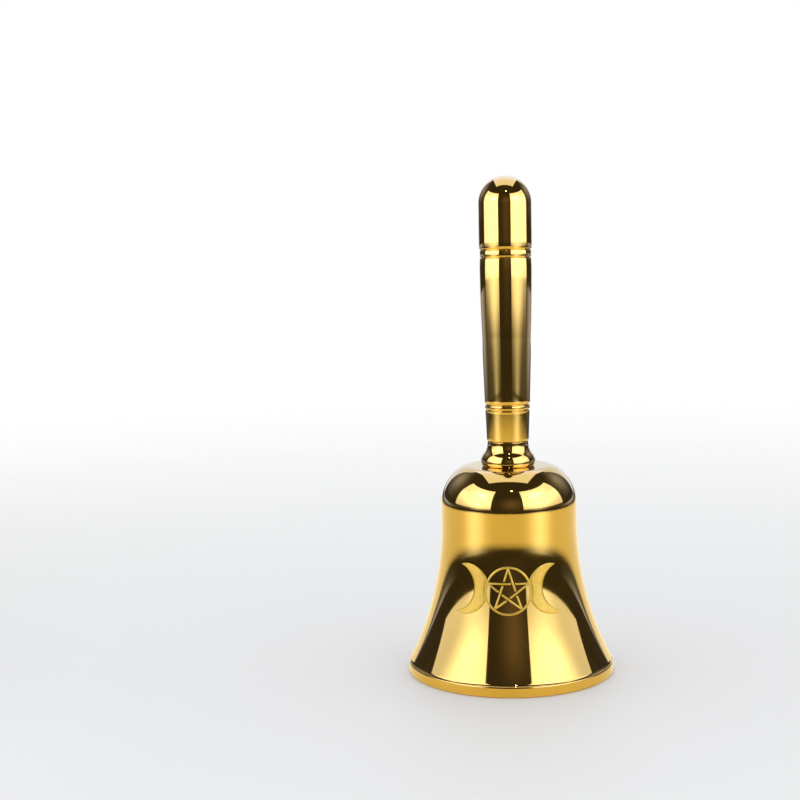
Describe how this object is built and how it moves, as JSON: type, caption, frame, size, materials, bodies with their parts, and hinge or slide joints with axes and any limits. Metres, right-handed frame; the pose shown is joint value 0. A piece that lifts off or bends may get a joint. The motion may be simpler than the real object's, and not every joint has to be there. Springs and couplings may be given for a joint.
{
  "type": "hand bell",
  "caption": "Small polished metal hand bell: turned handle on a flared collar over a flaring cup, with a ball clapper hung on a ring inside.",
  "frame": {"origin": "centre of the mouth, on the plane the lip stands on", "axes": "+Z from the mouth up through the handle; -Y is the front, which carries the etched mark in the visual model; +X is to the right seen from the front"},
  "size_m": [0.054, 0.054, 0.1298],
  "materials": {
    "polished_gold": "mirror polished, lacquered",
    "clapper_brass": "turned, satin",
    "plated_steel": "nickel plated, lightly worn"
  },
  "bodies": {
    "bell": {"bell_cup": "polished_gold", "neck_collar": "polished_gold", "handle": "polished_gold", "eye_bolt": "plated_steel", "flat_washer": "plated_steel", "lock_washer": "plated_steel", "hex_nut": "plated_steel"},
    "ring": {"clapper_ring": "plated_steel"},
    "clapper": {"clapper_rod": "plated_steel", "clapper_ball": "clapper_brass"}
  },
  "joints": [
    {"name": "ring_swing", "type": "hinge", "parent": "bell", "child": "ring", "pos_m": [0, 0, 0.0389], "axis": [1, 0, 0], "range_deg": [-10, 10]},
    {"name": "clapper_swing", "type": "hinge", "parent": "ring", "child": "clapper", "pos_m": [0, 0, 0.03443], "axis": [0, 1, 0], "range_deg": [-29, 29]}
  ]
}
